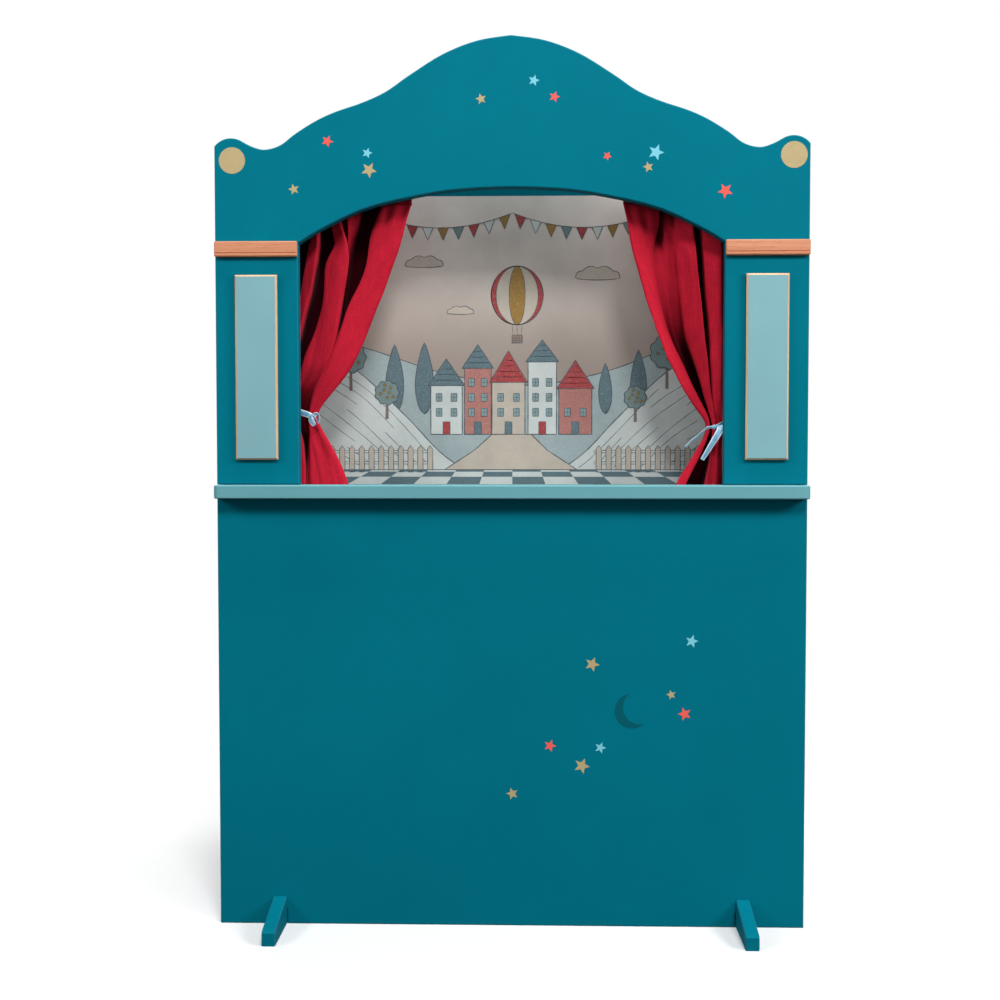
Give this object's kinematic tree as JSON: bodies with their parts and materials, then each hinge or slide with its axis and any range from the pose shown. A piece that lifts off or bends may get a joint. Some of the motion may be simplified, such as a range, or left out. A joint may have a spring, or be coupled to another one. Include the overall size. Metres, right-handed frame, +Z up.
{
  "type": "puppet theater stand",
  "caption": "Free-standing children's puppet theater: painted front with a shelf and an arched stage, tied-back sliding curtains, side wings, lift-out backdrop and lapped feet.",
  "frame": {"origin": "on the floor, under the middle of the box that holds the stand, feet included", "axes": "+X to the right as the audience sees it, +Y to the back where the puppeteer sits, +Z up"},
  "size_m": [0.7, 0.225, 1.056],
  "materials": {
    "teal_paint": "satin water-based paint on fibreboard",
    "pale_paint": "satin water-based paint on fibreboard",
    "bare_wood": "oiled beech, fine straight grain",
    "rod_wood": "bare beech dowel",
    "printed_board": "matt printed face on thin fibreboard",
    "red_cloth": "matt brushed velvet",
    "blue_satin": "glossy satin ribbon",
    "zinc": "zinc-plated steel"
  },
  "bodies": {
    "root": {"lower_panel": "teal_paint", "shelf": "pale_paint", "header": "teal_paint", "bottom_rail": "teal_paint", "top_rail": "teal_paint", "curtain_rod": "rod_wood", "left_post": "teal_paint", "left_trim": "bare_wood", "left_decor_panel": "pale_paint", "left_foot": "teal_paint", "left_wing": "teal_paint", "left_rod_bracket": "zinc", "left_curtain_drop": "red_cloth", "left_tie": "blue_satin", "left_screw_eye": "zinc", "left_shelf_dowel_outer": "rod_wood", "left_shelf_dowel_inner": "rod_wood", "left_header_dowel_outer": "rod_wood", "left_header_dowel_inner": "rod_wood", "left_cam_lower": "zinc", "left_cam_bolt_lower": "zinc", "left_cam_middle": "zinc", "left_cam_bolt_middle": "zinc", "left_cam_upper": "zinc", "left_cam_bolt_upper": "zinc", "left_bottom_rail_screw": "zinc", "left_top_rail_screw": "zinc", "left_bracket_screw_front": "zinc", "left_bracket_screw_rear": "zinc", "right_post": "teal_paint", "right_trim": "bare_wood", "right_decor_panel": "pale_paint", "right_foot": "teal_paint", "right_wing": "teal_paint", "right_rod_bracket": "zinc", "right_curtain_drop": "red_cloth", "right_tie": "blue_satin", "right_screw_eye": "zinc", "right_shelf_dowel_outer": "rod_wood", "right_shelf_dowel_inner": "rod_wood", "right_header_dowel_outer": "rod_wood", "right_header_dowel_inner": "rod_wood", "right_cam_lower": "zinc", "right_cam_bolt_lower": "zinc", "right_cam_middle": "zinc", "right_cam_bolt_middle": "zinc", "right_cam_upper": "zinc", "right_cam_bolt_upper": "zinc", "right_bottom_rail_screw": "zinc", "right_top_rail_screw": "zinc", "right_bracket_screw_front": "zinc", "right_bracket_screw_rear": "zinc"},
    "backdrop": {"backdrop": "printed_board"},
    "left_heading": {"left_curtain_heading": "red_cloth"},
    "right_heading": {"right_curtain_heading": "red_cloth"}
  },
  "joints": [
    {"name": "backdrop_lift", "type": "slide", "parent": "root", "child": "backdrop", "axis": [0, 0, 1], "range_m": [0, 0.41]},
    {"name": "left_curtain_slide", "type": "slide", "parent": "root", "child": "left_heading", "axis": [1, 0, 0], "range_m": [0, 0.065], "deforming": ["left_curtain_drop"]},
    {"name": "right_curtain_slide", "type": "slide", "parent": "root", "child": "right_heading", "axis": [-1, 0, 0], "range_m": [0, 0.065], "deforming": ["right_curtain_drop"]}
  ]
}
